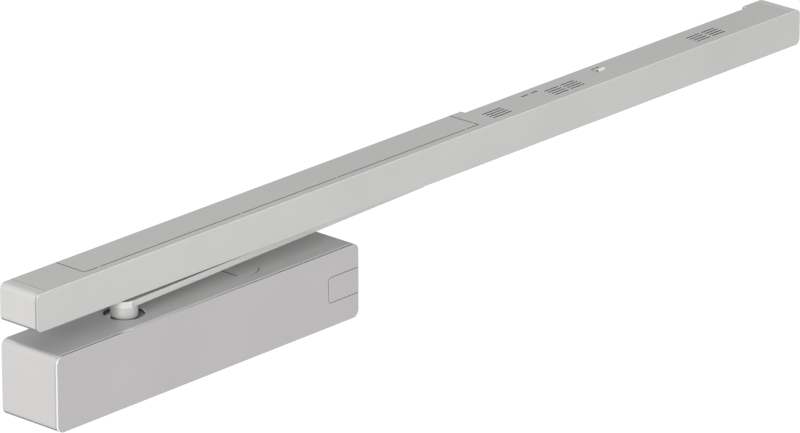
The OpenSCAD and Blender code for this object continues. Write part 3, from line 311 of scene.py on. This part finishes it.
# A darker, rougher copy of the arm's steel for the hub under the arm: painted shade where it sits in the gap
# between rail and closer
SHADED_HUB_STEEL = metal("shaded_hub_steel", (0.48, 0.475, 0.465), 0.5, metallic=0.3, grain=4200, depth=0.01)
# Mid grey on the front plate's narrow sides and underside, the roof's ends, the closer's front edges behind its
# panel and the near side of the cap's seam: painted shade
RIM_SHADE = metal("rim_shade", (0.42, 0.42, 0.42), 0.4, metallic=0.3, specular=0.25)


# Pieces with eased edges, which stand for their plain solids

BOX = {name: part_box(name) for name in nodes}
# Thickness of the front cover's sheet, and of the arm
SHEET_T = 1.5 * MM
ARM_T = 5 * MM
# Farther from the wall than this, the roof's faces are clear of the recess along it
PAST_RECESS = 5 * MM
# Margins, for a face near a piece and for one level with a height
NEAR = 0.6 * MM
HAIR = NEAR / 4
# The lid's nibs stand out of its edge by a little more than this
NIB_REACH = 0.38 * MM
ROOF_Z, ROOF_TOP_Z = (corner[2] for corner in BOX["top_panel"])
ROOF_LEFT_X = BOX["left_end_cap"][1][0]
ROOF_RIGHT_X = BOX["right_end_cap"][0][0]
PLATE_BACK_Y = BOX["front_cover"][0][1] + SHEET_T
PAST_RECESS_Y = BOX["front_cover"][1][1] - PAST_RECESS
SHELL_FRONT_Y = BOX["cover_shell"][0][1] + 2 * NEAR
ARM_UNDER_Z = BOX["arm"][1][2] - ARM_T
SPINDLE = sum((Vector(corner) for corner in BOX["arm_screw"]), Vector()).xy / 2
ARM_END_R = SPINDLE.x - BOX["arm"][0][0] + NEAR
# A face with more than this share of its normal along Z is level
LEVEL = 0.95
# One with more than this share along an axis faces that way
FACING = 0.5
# These smaller shares take in rounded edges as well
DOWNWARD = 0.35
SIDEWAYS = 0.3
FORWARD = 0.1
# More than this share along Z is the upper part of an eased top edge
UPPER = 0.8
# More than this share to the front is the part of the cap's seam that is nearest to the front
FRONTAL = 0.6
# Edges bent by more than SHARP are eased, those bent by less than FLAT are dissolved, and those
# bent by less than SMOOTH are shaded smooth
SHARP = math.radians(33)
FLAT = math.radians(0.6)
SMOOTH = math.radians(31)
# Points closer than this are joined
WELD = 0.002 * MM


def mesh_copy(node, ending, material):
    """A copy of the node's mesh, in that material alone."""
    mesh = nodes[node].data.copy()
    mesh.name = f"{node}_{ending}"
    mesh.materials.clear()
    mesh.materials.append(material)
    return mesh


def stand_in(node, mesh, rides=True):
    """A piece with that mesh, which is shown in the node's place and moves with it if it rides."""
    piece = bpy.data.objects.new(f"{node}_finished", mesh)
    bpy.context.scene.collection.objects.link(piece)
    if rides:
        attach(piece, body_of[node])
    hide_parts(node)
    return piece


def eased(node, width, material=None, edge_material=None, segments=2, keep=None, sides=None):
    """A copy of the node with its sharp edges rounded by width, in millimetres, where keep allows it.

    sides gives other materials to the faces that a test of their normal and middle picks.
    """
    sides = sides or {}
    mesh = mesh_copy(node, "eased", material or FINISHES[slot_of[node]])
    if edge_material:
        mesh.materials.append(edge_material)
    for side_material in sides:
        mesh.materials.append(side_material)
    bm = bmesh.new()
    bm.from_mesh(mesh)
    bmesh.ops.remove_doubles(bm, verts=bm.verts, dist=WELD)
    bmesh.ops.dissolve_limit(bm, angle_limit=FLAT, verts=bm.verts, edges=bm.edges)
    sharp = [e for e in bm.edges
             if len(e.link_faces) == 2 and e.calc_face_angle(0) > SHARP
             and (keep is None or keep(e))]
    bmesh.ops.bevel(bm, geom=sharp, offset=width * MM, offset_type="OFFSET", segments=segments,
                    profile=0.5, affect="EDGES", clamp_overlap=False, loop_slide=True,
                    material=1 if edge_material else -1)
    first_side = 2 if edge_material else 1
    for face in bm.faces:
        face.smooth = True
        for number, picks in enumerate(sides.values(), first_side):
            if picks(face.normal, face.calc_center_median()):
                face.material_index = number
    mesh.clear_geometry()
    bm.to_mesh(mesh)
    bm.free()
    mesh.set_sharp_from_angle(angle=SMOOTH)
    piece = stand_in(node, mesh)
    normals = piece.modifiers.new("normals", "WEIGHTED_NORMAL")
    normals.keep_sharp = True
    return piece


def dress_nodes():
    for name, node in nodes.items():
        for place in node.material_slots:
            place.material = FINISHES[slot_of[name]]


def beside(name, middle, axes=(0, 1)):
    """True where middle lies within or close beside the piece, looking along the third axis."""
    low, high = BOX[name]
    return all(low[i] - NEAR < middle[i] < high[i] + NEAR for i in axes)


def in_sheet(normal, middle):
    """True in the openings cut through the cover's roof, and in the seam round the lid."""
    steepest = LEVEL if beside("top_panel", middle) else FACING
    return (abs(normal.z) < steepest and middle.z > ROOF_Z and PLATE_BACK_Y < middle.y < PAST_RECESS_Y
            and ROOF_LEFT_X < middle.x < ROOF_RIGHT_X
            and (abs(normal.x) > FACING or not beside("cover_latch", middle)))


def on_lip(normal, middle):
    """True on the latch's lip, above the roof, and on the latch's front within the roof."""
    return middle.z > ROOF_TOP_Z + HAIR or (normal.y < -FACING and middle.z > ROOF_Z + NEAR)


def beside_tab(normal, middle):
    """True on the sides of the latch's tab, within the roof."""
    return abs(normal.x) > FACING and ROOF_Z < middle.z < ROOF_TOP_Z


def looks_down(normal, middle):
    """True on the faces that look down, rounded corners too."""
    return normal.z < -DOWNWARD


def under_arm(normal, middle):
    """True on the hub, under the arm."""
    return middle.z < ARM_UNDER_Z - HAIR


def on_rim(normal, middle):
    """True on the narrow sides and underside of the cover's front plate, and on the roof's ends."""
    if middle.y < PLATE_BACK_Y:
        return abs(normal.y) < FACING and normal.z < FACING
    return abs(normal.x) > SIDEWAYS and not ROOF_LEFT_X < middle.x < ROOF_RIGHT_X


def across_panel(normal, middle):
    """True on the upright narrow sides of the closer's front panel, edges and all."""
    return abs(normal.x) > SIDEWAYS


def off_hub(edge):
    """False where the underside of the arm's round end meets the hub."""
    return any(abs(v.co.z - ARM_UNDER_Z) > HAIR or (v.co.xy - SPINDLE).length > ARM_END_R
               for v in edge.verts)


def beside_lid(normal, middle):
    """True on the lid's edges, but not on the nibs, which reach across its seam."""
    low, high = BOX["top_panel"]
    on_nib = middle.y < low[1] + NIB_REACH or middle.x > high[0] - NIB_REACH
    return in_sheet(normal, middle) and not on_nib


def on_top(normal, middle):
    """True on level faces that look up."""
    return normal.z > LEVEL


def front_top_edge(normal, middle):
    """True on the upper part of the eased top edge at the closer cover's open front."""
    return normal.z > UPPER and normal.y < -FORWARD and middle.y < SHELL_FRONT_Y


def front_edge(normal, middle):
    """True on the rest of that front's eased edges, down in the gap behind the front panel."""
    return normal.z < UPPER and normal.y < -FORWARD and middle.y < SHELL_FRONT_Y


def around_cap(normal, middle):
    """True on the upright faces of the round-ended cap's seam in the closer's cover."""
    return (abs(normal.z) < FACING and middle.z > BOX["position_cap"][0][2]
            and beside("position_cap", middle))


def near_side_of_cap(normal, middle):
    """True on that seam where it is nearest to the front."""
    return normal.y < -FRONTAL and around_cap(normal, middle)


def around_badge(normal, middle):
    """True on the narrow sides of the badge's seam in the closer's front panel."""
    return (abs(normal.y) < FACING and normal.x < FACING
            and beside("badge_plate", middle, axes=(0, 2)))


def dress_covers():
    # These sides paint highlights on eased edges and the latch's lip, and shade on tops, seams, rims, undersides
    # and the hub
    eased("front_cover", 0.2, edge_material=EDGE_HIGHLIGHT,
          sides={SHADED_ROOF: on_top, SEAM_SHADE: in_sheet, RIM_SHADE: on_rim, UNDERSIDE_SHADE: looks_down})
    eased("top_panel", 0.3, material=SHADED_ROOF, sides={SEAM_SHADE: beside_lid})
    eased("left_end_cap", 0.3, sides={UNDERSIDE_SHADE: looks_down})
    eased("right_end_cap", 0.3, sides={UNDERSIDE_SHADE: looks_down})
    eased("cover_latch", 0.12, sides={SHADOW_GAP: beside_tab, EDGE_HIGHLIGHT: on_lip})
    eased("cover_shell", 0.9, material=CLOSER_COVER, segments=3,
          sides={SHADED_CLOSER_TOP: on_top, UNDERSIDE_SHADE: looks_down, POLISHED_EDGE: front_top_edge,
                 RIM_SHADE: front_edge, SEAM_SHADE: around_cap})
    eased("front_panel", 0.2, material=CLOSER_PANEL,
          sides={POLISHED_EDGE: across_panel, SHADED_POLISHED_TOP: on_top, SHADOW_GAP: around_badge})
    eased("badge_plate", 0.15, material=CLOSER_PANEL, sides={SHADOW_GAP: around_badge})
    eased("position_cap", 0.15, material=SHADED_CLOSER_TOP,
          sides={SEAM_SHADE: around_cap, RIM_SHADE: near_side_of_cap})
    eased("arm", 0.35, keep=off_hub, sides={SHADED_HUB_STEEL: under_arm})


def dress_springs():
    """A finished copy of each spring that a joint moves.

    One that the joint's range would shorten rides with its body, in a mesh of its own. One that it would lengthen
    stays where it is.
    """
    for joint in frame["joints"]:
        for spring in joint.get("deforming_nodes", []):
            node = spring["node"]
            fixed_end = spring["fixed_end_x_m"]
            moving_end = max((corner[0] for corner in BOX[node]), key=lambda x: abs(x - fixed_end))
            change = joint["axis"][0] * joint["range_m"][1]
            keep = 1 + change / (moving_end - fixed_end)
            mesh = mesh_copy(node, "wound", FINISHES[slot_of[node]])
            piece = stand_in(node, mesh, rides=keep < 1)
            if keep < 1:
                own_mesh(piece)
            else:
                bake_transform(piece)


# Studio

FLOOR_Z = -0.24
FLOOR_SIZE = 14
FLOOR_GREY = 0.2
# The floor's glow as the camera sees it, also by way of metal and glass
FLOOR_GLOW = 0.92
WORLD_LIGHT = 0.375
WHITE = (1, 1, 1, 1)


def seen_by_eye(tree):
    """1 for rays from the camera, also by way of metal and glass, and 0 for light on the object."""
    path = tree.nodes.new("ShaderNodeLightPath")
    total = path.outputs["Is Camera Ray"]
    for kind in ("Is Glossy Ray", "Is Transmission Ray"):
        larger = tree.nodes.new("ShaderNodeMath")
        larger.operation = "MAXIMUM"
        tree.links.new(total, larger.inputs[0])
        tree.links.new(path.outputs[kind], larger.inputs[1])
        total = larger.outputs["Value"]
    return total


def make_floor():
    mesh = bpy.data.meshes.new("floor")
    half = FLOOR_SIZE / 2
    corners = [(-half, -half), (half, -half), (half, half), (-half, half)]
    mesh.from_pydata([(x, y, FLOOR_Z) for x, y in corners], [], [(0, 1, 2, 3)])
    floor = bpy.data.objects.new("floor", mesh)
    bpy.context.scene.collection.objects.link(floor)
    n = Nodes("floor")
    diffuse = n.add("ShaderNodeBsdfDiffuse")
    diffuse.inputs["Color"].default_value = (FLOOR_GREY, FLOOR_GREY, FLOOR_GREY, 1)
    glow = n.add("ShaderNodeEmission")
    lift = n.add("ShaderNodeMath", operation="MULTIPLY")
    lift.inputs[1].default_value = FLOOR_GLOW
    n.join(seen_by_eye(n.tree), lift.inputs[0])
    n.join(lift.outputs["Value"], glow.inputs["Strength"])
    both = n.add("ShaderNodeAddShader")
    n.join(diffuse.outputs["BSDF"], both.inputs[0])
    n.join(glow.outputs["Emission"], both.inputs[1])
    n.join(both.outputs["Shader"], n.output.inputs["Surface"])
    mesh.materials.append(n.material)


def make_world():
    world = bpy.data.worlds.new("studio")
    world.use_nodes = True
    tree = world.node_tree
    tree.nodes.clear()
    light = tree.nodes.new("ShaderNodeBackground")
    light.inputs["Color"].default_value = WHITE
    light.inputs["Strength"].default_value = WORLD_LIGHT
    white = tree.nodes.new("ShaderNodeBackground")
    white.inputs["Strength"].default_value = 1
    white.inputs["Color"].default_value = WHITE
    mix = tree.nodes.new("ShaderNodeMixShader")
    output = tree.nodes.new("ShaderNodeOutputWorld")
    tree.links.new(seen_by_eye(tree), mix.inputs["Fac"])
    tree.links.new(light.outputs["Background"], mix.inputs[1])
    tree.links.new(white.outputs["Background"], mix.inputs[2])
    tree.links.new(mix.outputs["Shader"], output.inputs["Surface"])
    bpy.context.scene.world = world


# Softboxes: azimuth and elevation of each as seen from the object, distance, size and power
SOFTBOXES = {
    "left": (-70, 11, 4.2, 2.8, 182),
    "front": (5, 11, 4.2, 2.4, 80),
}


def make_lights():
    for name, (azimuth, elevation, distance, size, power) in SOFTBOXES.items():
        a, e = math.radians(azimuth), math.radians(elevation)
        towards = Vector((math.sin(a) * math.cos(e), -math.cos(a) * math.cos(e), math.sin(e)))
        data = bpy.data.lights.new(name, "AREA")
        data.shape = "SQUARE"
        data.size = size
        data.energy = power
        lamp = bpy.data.objects.new(name, data)
        lamp.location = towards * distance
        lamp.rotation_mode = "QUATERNION"
        lamp.rotation_quaternion = towards.to_track_quat("Z", "Y")
        bpy.context.scene.collection.objects.link(lamp)


make_camera()
dress_nodes()
dress_covers()
dress_springs()
make_floor()
make_world()
make_lights()
bpy.context.scene.view_settings.view_transform = "Standard"
